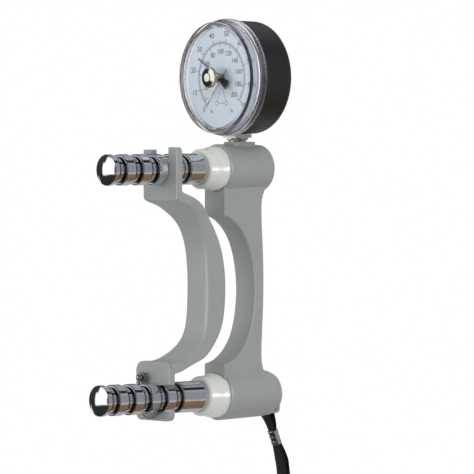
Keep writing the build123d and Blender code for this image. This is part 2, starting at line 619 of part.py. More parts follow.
def wrist_strap():
    """The wrist loop: out of the crimp, down, round and back up beside the first leg."""
    y = FRONT
    points = [(0, y + 48.5, -101.2), (0, y + 51.8, -110.0), (0, y + 53.6, -118.5), (0, y + 54.2, -128.0),
              (0, y + 53.4, -142.0), (0, y + 50.0, -162.0), (0, y + 45.0, -190.0), (0, y + 41.5, -216.0),
              (0, y + 44.5, -238.0), (0, y + 56.0, -251.0), (0, y + 71.0, -250.0), (0, y + 81.0, -237.0),
              (0, y + 83.5, -216.0), (0, y + 80.0, -190.0), (0, y + 71.0, -162.0), (0, y + 62.0, -142.0),
              (0, y + 57.6, -128.0), (0, y + 56.0, -118.5), (0, y + 54.9, -109.5), (0, y + 50.3, -101.2)]
    radii = route_radii(points)
    path = FilletPolyline(*points, radius=radii)
    print("strap length", round(path.length, 1), "radii", [round(r, 1) for r in radii])
    return webbing(path) - strap_crimp()


def route_radii(points):
    """The largest arcs that the runs on each side of a corner allow."""
    radii = []
    for a, b, c in zip(points, points[1:], points[2:]):
        u = Vector(*b) - Vector(*a)
        v = Vector(*c) - Vector(*b)
        half_turn = math.radians(u.get_angle(v)) / 2
        radii.append(0.45 * min(u.length, v.length) / math.tan(half_turn))
    return radii


NODES = {
    "body_casting": body_casting,
    "upper_bushing": lambda: bushing(AXIS_Z),
    "lower_bushing": lambda: bushing(-AXIS_Z),
    "upper_post": lambda: post(UPPER_END, UPPER_INNER, AXIS_Z),
    "lower_post": lambda: post(LOWER_END, LOWER_INNER, -AXIS_Z),
    "upper_piston_seal": lambda: piston_seal(UPPER_INNER, AXIS_Z),
    "lower_piston_seal": lambda: piston_seal(LOWER_INNER, -AXIS_Z),
    "upper_return_spring": lambda: return_spring(UPPER_INNER, FRONT + 31, AXIS_Z),
    "lower_return_spring": lambda: return_spring(LOWER_INNER, FRONT + 34, -AXIS_Z),
    "adjustable_handle": adjustable_handle,
    "handle_clip": handle_clip,
    "clip_rivet": clip_rivet,
    "gauge_socket": gauge_socket,
    "socket_washer": socket_washer,
    "gauge_case": gauge_case,
    "relief_plug": relief_plug,
    "bourdon_tube": bourdon_tube,
    "movement_plates": movement_plates,
    "pointer_arbor": pointer_arbor,
    "sector_gear": sector_gear,
    "movement_link": movement_link,
    "dial_plate": dial_plate,
    "dial_screws": dial_screws,
    "pointer": pointer,
    "lens_gasket": lens_gasket,
    "lens_cover": lens_cover,
    "knob_bush": knob_bush,
    "peak_hand": peak_hand,
    "reset_shaft": reset_shaft,
    "reset_knob": reset_knob,
    "rear_plug": rear_plug,
    "strap_pin": strap_pin,
    "strap_anchor_loop": strap_anchor_loop,
    "strap_crimp": strap_crimp,
    "wrist_strap": wrist_strap,
}

for node, make in NODES.items():
    save(make(), node)
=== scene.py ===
"""Looks of the hydraulic hand dynamometer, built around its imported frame."""

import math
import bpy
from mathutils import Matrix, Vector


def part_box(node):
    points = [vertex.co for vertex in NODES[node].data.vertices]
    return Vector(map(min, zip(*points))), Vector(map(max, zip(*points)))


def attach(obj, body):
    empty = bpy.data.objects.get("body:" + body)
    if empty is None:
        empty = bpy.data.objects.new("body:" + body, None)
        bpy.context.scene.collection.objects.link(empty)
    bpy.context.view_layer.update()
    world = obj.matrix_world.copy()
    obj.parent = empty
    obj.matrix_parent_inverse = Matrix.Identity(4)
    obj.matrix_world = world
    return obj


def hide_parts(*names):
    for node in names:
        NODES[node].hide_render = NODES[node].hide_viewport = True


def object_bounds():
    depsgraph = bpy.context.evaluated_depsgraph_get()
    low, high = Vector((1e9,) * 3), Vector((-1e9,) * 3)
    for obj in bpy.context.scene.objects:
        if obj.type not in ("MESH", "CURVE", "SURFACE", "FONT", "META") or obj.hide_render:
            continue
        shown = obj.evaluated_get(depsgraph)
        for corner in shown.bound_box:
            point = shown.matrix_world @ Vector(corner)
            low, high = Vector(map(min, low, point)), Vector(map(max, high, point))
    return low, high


bl_info = {
    "name": "Hand Dynamometer",
    "version": (1, 0, 0),
    "blender": (4, 5, 0),
    "location": "3D View > Sidebar > Dynamometer",
    "description": "Builds the finishes and fine pieces of a hydraulic hand dynamometer",
    "category": "Object",
}

import bmesh
import bpy
from bpy.props import (
    FloatProperty,
    FloatVectorProperty,
    IntProperty,
    PointerProperty,
)
from mathutils import Matrix, Vector

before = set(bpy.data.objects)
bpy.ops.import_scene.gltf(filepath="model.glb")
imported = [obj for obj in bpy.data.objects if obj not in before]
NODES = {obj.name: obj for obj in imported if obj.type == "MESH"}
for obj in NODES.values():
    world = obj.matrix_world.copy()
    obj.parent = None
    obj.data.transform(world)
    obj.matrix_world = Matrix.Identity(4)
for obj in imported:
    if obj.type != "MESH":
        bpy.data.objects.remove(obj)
CAD_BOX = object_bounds()
MM = 0.001


def middle(node):
    """Centre of a frame node's box."""
    low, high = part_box(node)
    return (low + high) / 2


GAUGE_CENTRE = middle("dial_plate")
DIAL_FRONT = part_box("dial_plate")[0].y
HOUSING_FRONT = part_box("upper_bushing")[1].y - 6 * MM
LOWER_AXIS = middle("lower_post")
CRIMP_Y = HOUSING_FRONT + 45.9 * MM
GROOVE_PITCH = 12.7 * MM
KG_PER_POUND = 0.45359


# ---- settings
def colour(name, description, default):
    """A colour property with a picker."""
    return FloatVectorProperty(
        name=name, description=description, subtype="COLOR", size=3, min=0, max=1, default=default
    )


def length(name, description, default):
    """A length property in metres."""
    return FloatProperty(
        name=name, description=description, subtype="DISTANCE", unit="LENGTH", default=default
    )


def angle(name, description, degrees):
    """An angle property, given in degrees."""
    return FloatProperty(
        name=name, description=description, subtype="ANGLE", unit="ROTATION", default=math.radians(degrees)
    )


class DynoFinish(bpy.types.PropertyGroup):
    """Colours and roughness of the finishes."""

    paint: colour("Paint", "Grey paint on both castings", (0.360, 0.372, 0.367))
    chrome: colour("Chrome", "Plating on the posts", (0.80, 0.81, 0.83))
    nylon: colour("Nylon", "Guide bushings", (0.78, 0.79, 0.735))
    case: colour("Case", "Moulded gauge case", (0.0165, 0.0155, 0.0145))
    dial: colour("Dial", "Printed dial ground", (0.63, 0.70, 0.78))
    ink: colour("Ink", "Scale printing and hands", (0.012, 0.013, 0.016))
    lens: colour("Lens", "Clear cover", (0.96, 0.975, 0.985))
    brass: colour("Brass", "Bush, knob and movement", (0.74, 0.60, 0.36))
    knob: colour("Knob", "Reset knob plating", (0.64, 0.61, 0.52))
    steel: colour("Steel", "Rivet, pins and springs", (0.52, 0.52, 0.53))
    wire: colour("Wire", "Clip wire", (0.40, 0.38, 0.38))
    socket: colour("Socket", "Square gauge socket", (0.70, 0.69, 0.66))
    webbing: colour("Webbing", "Wrist strap yarn", (0.0075, 0.0068, 0.0066))
    ferrule: colour("Ferrule", "Strap ferrule", (0.70, 0.685, 0.65))
    rubber: colour("Rubber", "Seals and plug", (0.014, 0.014, 0.014))
    paint_roughness: FloatProperty(
        name="Paint roughness", description="Sheen of the paint", default=0.42, min=0, max=1, subtype="FACTOR"
    )


class DynoDial(bpy.types.PropertyGroup):
    """Layout of the dial's printing."""

    zero_angle: angle("Zero", "Where zero sits, anticlockwise from the right", 230.5)
    per_kilogram: angle("Per kilogram", "Turn of the hand for one kilogram", 3)
    arc_radius: length("Arc radius", "Radius of the scale's arc", 21.4 * MM)
    outer_number_radius: length("Outer numbers", "Radius of the outer numbers", 27.2 * MM)
    inner_number_radius: length("Inner numbers", "Radius of the inner numbers", 16.0 * MM)
    outer_number_size: length("Outer size", "Height setting of the outer numbers", 4.7 * MM)
    inner_number_size: length("Inner size", "Height setting of the inner numbers", 4.3 * MM)
    full_scale: IntProperty(name="Full scale", description="Last kilogram on the scale", default=90)


class DynoSoft(bpy.types.PropertyGroup):
    """Sizes of the wire clip and the strap."""

    wire_radius: length("Wire radius", "Radius of the clip's wire", 0.68 * MM)
    coil_radius: length("Coil radius", "Radius of the clip's coil", 2.6 * MM)
    strap_width: length("Strap width", "Width of the webbing", 9.0 * MM)
    strap_thickness: length("Strap thickness", "Thickness of the webbing", 1.35 * MM)
    strap_length: length("Strap length", "Length of the wrist loop's webbing", 0.326)


class DynoStage(bpy.types.PropertyGroup):
    """Camera and room."""

    azimuth: angle("Azimuth", "Camera's turn round the object", 49.77)
    elevation: angle("Elevation", "Camera's height as an angle", 2.09)
    distance: length("Distance", "Camera's distance from its target", 3.215)
    focal: FloatProperty(name="Lens", description="Focal length in millimetres", default=397.8)
    aim_right: length("Aim right", "How far right of the target the picture's centre is", 27.9 * MM)
    aim_up: length("Aim up", "How far above the target the picture's centre is", 28.15 * MM)


# ---- node helpers
def node(tree, kind, **values):
    """Add a node; values set its properties, or its inputs where the name is an input's."""
    made = tree.nodes.new(kind)
    for name, value in values.items():
        label = name.replace("_", " ").title()
        if hasattr(made, name):
            setattr(made, name, value)
        elif name in made.inputs:
            made.inputs[name].default_value = value
        else:
            made.inputs[label].default_value = value
    return made


def wire(tree, value, slot):
    """Link an output socket to an input, or set the input to a plain value."""
    if isinstance(value, bpy.types.NodeSocket):
        tree.links.new(value, slot)
    elif slot.type == "RGBA":
        slot.default_value = (*value[:3], 1.0)
    else:
        slot.default_value = value


def maths(tree, operation, first, second=None, clamp=False):
    """A Math node fed by sockets or numbers; returns its output."""
    made = node(tree, "ShaderNodeMath", operation=operation, use_clamp=clamp)
    wire(tree, first, made.inputs[0])
    if second is not None:
        wire(tree, second, made.inputs[1])
    return made.outputs[0]


def times(tree, first, second):
    """Two values multiplied."""
    return maths(tree, "MULTIPLY", first, second)


def dot(tree, first, second):
    """Dot product of two vectors; returns its output."""
    made = node(tree, "ShaderNodeVectorMath", operation="DOT_PRODUCT")
    wire(tree, first, made.inputs[0])
    wire(tree, second, made.inputs[1])
    return made.outputs["Value"]


def noise(tree, scale, at=None, **values):
    """Noise in the object's own coordinates, unless others are given; returns its output."""
    made = node(tree, "ShaderNodeTexNoise", **values)
    wire(tree, at or node(tree, "ShaderNodeTexCoord").outputs["Object"], made.inputs["Vector"])
    wire(tree, scale, made.inputs["Scale"])
    return made.outputs[0]


def grey(tree, level):
    """A level as a grey colour; returns its output."""
    made = node(tree, "ShaderNodeCombineColor")
    for channel in made.inputs:
        wire(tree, level, channel)
    return made.outputs[0]


def mix_shaders(tree, factor, first, second):
    """Two shaders mixed; returns the mix's output."""
    made = node(tree, "ShaderNodeMixShader")
    for slot, value in zip(made.inputs, (factor, first, second)):
        wire(tree, value, slot)
    return made.outputs[0]


def remap(tree, value, low, high, to_low, to_high):
    """A clamped Map Range; returns its output."""
    made = node(tree, "ShaderNodeMapRange")
    names = ("Value", "From Min", "From Max", "To Min", "To Max")
    for name, setting in zip(names, (value, low, high, to_low, to_high)):
        wire(tree, setting, made.inputs[name])
    return made.outputs["Result"]


def blend_colour(tree, factor, first, second, mode="MIX"):
    """A colour Mix node; returns its output."""
    made = node(tree, "ShaderNodeMix", data_type="RGBA", blend_type=mode)
    for slot, value in ((0, factor), (6, first), (7, second)):
        wire(tree, value, made.inputs[slot])
    return made.outputs[2]


def new_group(name, inputs, outputs):
    """A shader node group with named sockets; returns the tree and its two end nodes."""
    tree = bpy.data.node_groups.new(name, "ShaderNodeTree")
    for label, kind, default in inputs:
        socket = tree.interface.new_socket(name=label, in_out="INPUT", socket_type=kind)
        if default is not None:
            socket.default_value = default
    for label, kind in outputs:
        tree.interface.new_socket(name=label, in_out="OUTPUT", socket_type=kind)
    return tree, tree.nodes.new("NodeGroupInput"), tree.nodes.new("NodeGroupOutput")


FLOAT, COLOUR = "NodeSocketFloat", "NodeSocketColor"


def shared_group(build):
    """Build a node group once, named after its function, and hand out the same one after that."""
    name = build.__name__
    return lambda: bpy.data.node_groups.get(name) or build(name)


@shared_group
def slow_tone(name):
    """Slow drift of a colour over a surface, with a finer mottling."""
    tree, start, end = new_group(
        name,
        [("Colour", COLOUR, (0.5, 0.5, 0.5, 1)), ("Scale", FLOAT, 60.0), ("Amount", FLOAT, 0.06)],
        [("Colour", COLOUR)],
    )
    coarse = noise(tree, start.outputs["Scale"], Detail=3.0, Roughness=0.55)
    fine = noise(tree, times(tree, start.outputs["Scale"], 14.0), Detail=2.0)
    both = maths(tree, "ADD", times(tree, coarse, 0.7), times(tree, fine, 0.3))
    low = maths(tree, "SUBTRACT", 1.0, start.outputs["Amount"])
    high = maths(tree, "ADD", 1.0, start.outputs["Amount"])
    shade = grey(tree, remap(tree, both, 0.3, 0.7, low, high))
    wire(tree, blend_colour(tree, 1.0, start.outputs["Colour"], shade, "MULTIPLY"), end.inputs[0])
    return tree


@shared_group
def fine_grain(name):
    """Orange peel and fine grain as a height."""
    tree, start, end = new_group(
        name,
        [("Scale", FLOAT, 900.0), ("Peel", FLOAT, 0.5)],
        [("Height", FLOAT)],
    )
    grain = noise(tree, start.outputs["Scale"], Detail=4.0, Roughness=0.6)
    where = node(tree, "ShaderNodeTexCoord")
    peel = node(tree, "ShaderNodeTexVoronoi", feature="SMOOTH_F1")
    wire(tree, where.outputs["Object"], peel.inputs["Vector"])
    wire(tree, times(tree, start.outputs["Scale"], 0.6), peel.inputs["Scale"])
    mixed = maths(tree, "ADD", grain, times(tree, peel.outputs[0], start.outputs["Peel"]))
    wire(tree, mixed, end.inputs[0])
    return tree


@shared_group
def rubbed_edges(name):
    """Mask of the outer edges, broken up by noise, where a finish rubs thin."""
    tree, start, end = new_group(
        name,
        [("Radius", FLOAT, 0.0008), ("Breakup", FLOAT, 260.0)],
        [("Mask", FLOAT)],
    )
    soft = node(tree, "ShaderNodeBevel", samples=4)
    wire(tree, start.outputs["Radius"], soft.inputs["Radius"])
    true = node(tree, "ShaderNodeNewGeometry")
    bend = remap(tree, dot(tree, soft.outputs[0], true.outputs["Normal"]), 0.80, 0.985, 1.0, 0.0)
    broken = noise(tree, start.outputs["Breakup"], Detail=4.0, Roughness=0.65)
    patches = remap(tree, broken, 0.42, 0.62, 0.0, 1.0)
    wire(tree, maths(tree, "MULTIPLY", bend, patches, True), end.inputs[0])
    return tree


@shared_group
def turning_marks(name):
    """Fine rings left by a lathe about an axis along Y, and rub marks along it."""
    tree, start, end = new_group(
        name,
        [("Rings", FLOAT, 2200.0), ("Rubs", FLOAT, 240.0)],
        [("Height", FLOAT), ("Mask", FLOAT)],
    )
    where = node(tree, "ShaderNodeTexCoord")
    split = node(tree, "ShaderNodeSeparateXYZ")
    wire(tree, where.outputs["Object"], split.inputs[0])
    rings = node(tree, "ShaderNodeTexNoise", noise_dimensions="1D", Detail=3.0)
    wire(tree, times(tree, split.outputs["Y"], start.outputs["Rings"]), rings.inputs["W"])
    rings.inputs["Scale"].default_value = 1.0
    stretch = node(tree, "ShaderNodeMapping")
    stretch.inputs["Scale"].default_value = (1.0, 0.12, 1.0)
    wire(tree, where.outputs["Object"], stretch.inputs["Vector"])
    rubs = noise(tree, start.outputs["Rubs"], stretch.outputs[0], Detail=5.0, Roughness=0.7)
    wire(tree, rings.outputs[0], end.inputs["Height"])
    wire(tree, remap(tree, rubs, 0.45, 0.75, 0.0, 1.0), end.inputs["Mask"])
    return tree


@shared_group
def axis_radius(name):
    """Distance from an axis along Y at a given height, and the place along it."""
    tree, start, end = new_group(
        name, [("Height", FLOAT, 0.0)], [("Radius", FLOAT), ("Along", FLOAT)])
    split = node(tree, "ShaderNodeSeparateXYZ")
    wire(tree, node(tree, "ShaderNodeTexCoord").outputs["Object"], split.inputs[0])
    rise = maths(tree, "SUBTRACT", split.outputs["Z"], start.outputs["Height"])
    square = maths(tree, "ADD", times(tree, split.outputs["X"], split.outputs["X"]),
                   times(tree, rise, rise))
    wire(tree, maths(tree, "SQRT", square), end.inputs["Radius"])
    wire(tree, split.outputs["Y"], end.inputs["Along"])
    return tree


@shared_group
def webbing_weave(name):
    """Herringbone webbing from its own coordinates: across the strap and along it."""
    tree, start, end = new_group(
        name,
        [("Ribs", FLOAT, 260.0), ("Yarns", FLOAT, 11.0)],
        [("Height", FLOAT), ("Relief shading", FLOAT)],
    )
    where = node(tree, "ShaderNodeTexCoord")
    split = node(tree, "ShaderNodeSeparateXYZ")
    wire(tree, where.outputs["UV"], split.inputs[0])
    across = maths(tree, "ABSOLUTE", maths(tree, "SUBTRACT", split.outputs["X"], 0.5))
    slant = maths(tree, "ADD", times(tree, split.outputs["Y"], start.outputs["Ribs"]),
                  times(tree, across, 9.0))
    rib = maths(tree, "ABSOLUTE", maths(tree, "SINE", times(tree, slant, math.pi)))
    turns = times(tree, times(tree, split.outputs["X"], start.outputs["Yarns"]), math.pi)
    yarn = maths(tree, "ABSOLUTE", maths(tree, "SINE", turns))
    height = times(tree, maths(tree, "POWER", rib, 0.6), maths(tree, "POWER", yarn, 0.5))
    fuzz = times(tree, noise(tree, 2600.0, Detail=3.0), 0.35)
    wire(tree, maths(tree, "ADD", height, fuzz), end.inputs["Height"])
    # darker low in the weave and lighter on the rib tops: painted shade and painted highlight of the relief
    wire(tree, remap(tree, height, 0.0, 1.0, 0.45, 1.25), end.inputs["Relief shading"])
    return tree


def place(tree, group, **values):
    """Put a group in a tree and set its inputs by name."""
    made = node(tree, "ShaderNodeGroup", node_tree=group)
    for name, value in values.items():
        wire(tree, value, made.inputs[name])
    return made


def start_material(name, **sockets):
    """A material with one Principled shader; sockets are set by their plain names."""
    made = bpy.data.materials.new(name)
    made.use_nodes = True
    tree = made.node_tree
    shader = tree.nodes["Principled BSDF"]
    for label, value in sockets.items():
        shader.inputs[label.replace("_", " ")].default_value = value
    return made, tree, shader


def bump(tree, shader, height, strength, distance):
    """Feed a height to the shader's normal."""
    made = node(tree, "ShaderNodeBump", Strength=strength, Distance=distance)
    wire(tree, height, made.inputs["Height"])
    wire(tree, made.outputs[0], shader.inputs["Normal"])


# ---- materials
def cast_paint(name, tint, roughness):
    """Sprayed grey paint on a casting: orange peel, slow drift, thin edges."""
    made, tree, shader = start_material(name)
    toned = place(tree, slow_tone(), Colour=tint, Scale=70.0, Amount=0.035)
    edges = place(tree, rubbed_edges(), Radius=0.0007, Breakup=320.0)
    bright = [min(1.0, c * 1.28) for c in tint]
    wear = times(tree, edges.outputs[0], 0.45)
    wire(tree, blend_colour(tree, wear, toned.outputs[0], bright), shader.inputs["Base Color"])
    grain = place(tree, fine_grain(), Scale=1100.0, Peel=0.6)
    rough = remap(tree, grain.outputs[0], 0.3, 1.1, roughness - 0.05, roughness + 0.09)
    wire(tree, rough, shader.inputs["Roughness"])
    bump(tree, shader, grain.outputs[0], 0.16, 0.0002)
    return made


def plated(name, tint, roughness, rings):
    """Polished plating over turned steel."""
    made, tree, shader = start_material(name, Metallic=1.0)
    marks = place(tree, turning_marks(), Rings=rings, Rubs=260.0)
    toned = place(tree, slow_tone(), Colour=tint, Scale=120.0, Amount=0.02)
    dull = [c * 0.86 for c in tint]
    wire(tree, blend_colour(tree, times(tree, marks.outputs["Mask"], 0.35), toned.outputs[0], dull),
         shader.inputs["Base Color"])
    wire(tree, remap(tree, marks.outputs["Mask"], 0.0, 1.0, roughness, roughness + 0.10),
         shader.inputs["Roughness"])
    bump(tree, shader, marks.outputs["Height"], 0.05, 0.00005)
    return made


def moulded(name, tint, roughness, grain_scale, strength, amount=0.05):
    """Moulded plastic or rubber with a fine grain."""
    made, tree, shader = start_material(name)
    toned = place(tree, slow_tone(), Colour=tint, Scale=90.0, Amount=amount)
    edges = place(tree, rubbed_edges(), Radius=0.0006, Breakup=420.0)
    lifted = [min(1.0, c * 1.35 + 0.004) for c in tint]
    wear = times(tree, edges.outputs[0], 0.3)
    wire(tree, blend_colour(tree, wear, toned.outputs[0], lifted), shader.inputs["Base Color"])
    grain = place(tree, fine_grain(), Scale=grain_scale, Peel=0.3)
    wire(tree, remap(tree, grain.outputs[0], 0.2, 0.9, roughness - 0.06, roughness + 0.08),
         shader.inputs["Roughness"])
    bump(tree, shader, grain.outputs[0], strength, 0.0001)
    return made


def machined(name, tint, roughness, metallic=1.0):
    """Plain machined metal with rub marks."""
    made, tree, shader = start_material(name, Metallic=metallic)
    marks = place(tree, turning_marks(), Rings=2600.0, Rubs=420.0)
    toned = place(tree, slow_tone(), Colour=tint, Scale=200.0, Amount=0.08)
    wire(tree, toned.outputs[0], shader.inputs["Base Color"])
    wire(tree, remap(tree, marks.outputs["Mask"], 0.0, 1.0, roughness, roughness + 0.14),
         shader.inputs["Roughness"])
    bump(tree, shader, marks.outputs["Height"], 0.12, 0.00006)
    return made


def clear_cover(name, tint):
    """Clear moulded cover: glass to the eye, open to lamps, with faint flow lines and hairlines."""
    made, tree, shader = start_material(name, Metallic=0.0)
    shader.inputs["Transmission Weight"].default_value = 1.0
    shader.inputs["IOR"].default_value = 1.47
    shader.inputs["Base Color"].default_value = (*tint, 1.0)
    flow = noise(tree, 45.0, Detail=2.0)
    hair = noise(tree, 700.0, Detail=6.0, Roughness=0.75)
    turned = place(tree, axis_radius(), Height=GAUGE_CENTRE.z)
    rim = remap(tree, turned.outputs["Radius"], 30.9 * MM, 31.8 * MM, 0.0, 1.0)
    clear = remap(tree, hair, 0.5, 0.8, 0.015, 0.07)
    wire(tree, remap(tree, rim, 0.0, 1.0, clear, 0.17), shader.inputs["Roughness"])
    wire(tree, blend_colour(tree, rim, tint, (0.80, 0.79, 0.83)), shader.inputs["Base Color"])
    along = maths(tree, "SINE", times(tree, turned.outputs["Along"], 2300.0))
    wavy = maths(tree, "ADD", times(tree, flow, 0.3), times(tree, along, rim))
    bump(tree, shader, wavy, 0.35, 0.00012)
    rays = tree.nodes.new("ShaderNodeLightPath")
    opened = tree.nodes.new("ShaderNodeBsdfTransparent")
    opened.inputs[0].default_value = (0.93, 0.945, 0.955, 1.0)
    mix = mix_shaders(tree, rays.outputs["Is Shadow Ray"], shader.outputs[0], opened.outputs[0])
    wire(tree, mix, tree.nodes["Material Output"].inputs["Surface"])
    return made


def woven(name, tint):
    """Black herringbone webbing."""
    made, tree, shader = start_material(name, Roughness=0.78)
    shader.inputs["Sheen Weight"].default_value = 0.08
    shader.inputs["Sheen Roughness"].default_value = 0.5
    weave = place(tree, webbing_weave(), Ribs=300.0, Yarns=9.0)
    # painted shade in the weave's hollows and painted highlight on its ribs, multiplied into the yarn colour
    shade = grey(tree, weave.outputs["Relief shading"])
    toned = place(tree, slow_tone(), Colour=tint, Scale=160.0, Amount=0.18)
    wire(tree, blend_colour(tree, 1.0, toned.outputs[0], shade, "MULTIPLY"), shader.inputs["Base Color"])
    bump(tree, shader, weave.outputs["Height"], 0.8, 0.0003)
    return made


def printed(name, tint, roughness, scale):
    """Printed or painted flat surface with a faint fibre."""
    made, tree, shader = start_material(name)
    toned = place(tree, slow_tone(), Colour=tint, Scale=scale, Amount=0.03)
    wire(tree, toned.outputs[0], shader.inputs["Base Color"])
    grain = place(tree, fine_grain(), Scale=2400.0, Peel=0.2)
    wire(tree, remap(tree, grain.outputs[0], 0.2, 0.9, roughness - 0.05, roughness + 0.05),
         shader.inputs["Roughness"])
    bump(tree, shader, grain.outputs[0], 0.05, 0.00003)
    return made


def finish_nodes(material, *names):
    """Give frame nodes a material in place of their plain one."""
    for name in names:
        mesh = NODES[name].data
        mesh.materials.clear()
        mesh.materials.append(material)


# ---- mesh helpers
def new_object(name, data):
    """An object linked to the scene."""
    made = bpy.data.objects.new(name, data)
    bpy.context.scene.collection.objects.link(made)
    return made


def as_mesh(name, data):
    """Turn a curve or text into a mesh, and drop the curve."""
    holder = new_object(name, data)
    bpy.context.view_layer.update()
    mesh = bpy.data.meshes.new_from_object(holder)
    bpy.data.objects.remove(holder)
    bpy.data.curves.remove(data)
    return mesh


def add_object(name, mesh, material, body):
    """Link a mesh as a smooth-shaded piece that rides on a body."""
    made = new_object(name, mesh)
    mesh.materials.append(material)
    for face in mesh.polygons:
        face.use_smooth = True
    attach(made, body)
    return made


def read_spline(points):
    """Follow a NURBS spline through control points; returns the points on its line."""
    data = bpy.data.curves.new("route", "CURVE")
    data.dimensions = "3D"
    data.resolution_u = 12
    spline = data.splines.new("NURBS")
    spline.points.add(len(points) - 1)
    for point, place_at in zip(spline.points, points):
        point.co = (*place_at, 1.0)
    spline.order_u = 3
    spline.use_endpoint_u = True
    mesh = as_mesh("route", data)
    line = [v.co.copy() for v in mesh.vertices]
    bpy.data.meshes.remove(mesh)
    return line


def skin(rings):
    """A mesh through rings of points, with the ends capped and UVs across and along."""
    bm = bmesh.new()
    uv = bm.loops.layers.uv.new("UVMap")
    rows = [[bm.verts.new(p) for p in ring] for ring in rings]
    count = len(rings[0])
    runs = [0.0]
    for a, b in zip(rings, rings[1:]):
        runs.append(runs[-1] + (sum(b, Vector()) - sum(a, Vector())).length / count)
    for i, (lower, upper) in enumerate(zip(rows, rows[1:])):
        for j in range(count):
            k = (j + 1) % count
            face = bm.faces.new((lower[j], lower[k], upper[k], upper[j]))
            marks = ((j, i), (j + 1, i), (j + 1, i + 1), (j, i + 1))
            for loop, (u, v) in zip(face.loops, marks):
                loop[uv].uv = (u / count, runs[v])
    bm.faces.new(list(reversed(rows[0])))
    bm.faces.new(rows[-1])
    bmesh.ops.recalc_face_normals(bm, faces=bm.faces)
    mesh = bpy.data.meshes.new("skin")
    bm.to_mesh(mesh)
    bm.free()
    return mesh


def tube(line, radius, sides=14):
    """A round wire along a line, its ends slightly domed."""
    rings = []
    side = None
    for i, point in enumerate(line):
        ahead = line[min(i + 1, len(line) - 1)] - line[max(i - 1, 0)]
        ahead.normalize()
        if side is None:
            side = ahead.orthogonal().normalized()
        side = (side - ahead * side.dot(ahead)).normalized()
        other = ahead.cross(side)
        near_end = min(i, len(line) - 1 - i)
        size = radius * (0.55, 0.88, 1.0)[min(near_end, 2)]
        rings.append([
            point + (side * math.cos(a) + other * math.sin(a)) * size
            for a in (2 * math.pi * k / sides for k in range(sides))
        ])
    return skin(rings)


def ribbon(line, width_at, thickness_at, ribs=16):
    """Soft-edged webbing along a line in the YZ plane, its width and thickness given along it."""
    spans = [0.0]
    for a, b in zip(line, line[1:]):
        spans.append(spans[-1] + (b - a).length)
    total = spans[-1]
    rings = []
    across = Vector((1, 0, 0))
    for i, point in enumerate(line):
        ahead = (line[min(i + 1, len(line) - 1)] - line[max(i - 1, 0)]).normalized()
        out = across.cross(ahead).normalized()
        share = spans[i] / total
        half = width_at(share) / 2
        thick = thickness_at(share) / 2
        ring = []
        for k in range(2 * ribs):
            a = math.pi * k / ribs
            x = math.copysign(abs(math.cos(a)) ** 0.45, math.cos(a))
            y = math.copysign(abs(math.sin(a)) ** 0.65, math.sin(a))
            ring.append(point + across * (half * x) + out * (thick * y))
        rings.append(ring)
    return skin(rings)


# ---- operators
def area_lamp(name, place_at, target, size, power):
    """A rectangular lamp aimed at a point and hidden from the camera."""
    data = bpy.data.lights.new(name, "AREA")
    data.shape = "RECTANGLE"
    data.size, data.size_y = size
    data.energy = power
    lamp = new_object(name, data)
    lamp.location = place_at
    lamp.rotation_euler = (target - lamp.location).to_track_quat("-Z", "Y").to_euler()
    lamp.visible_camera = False
    return lamp


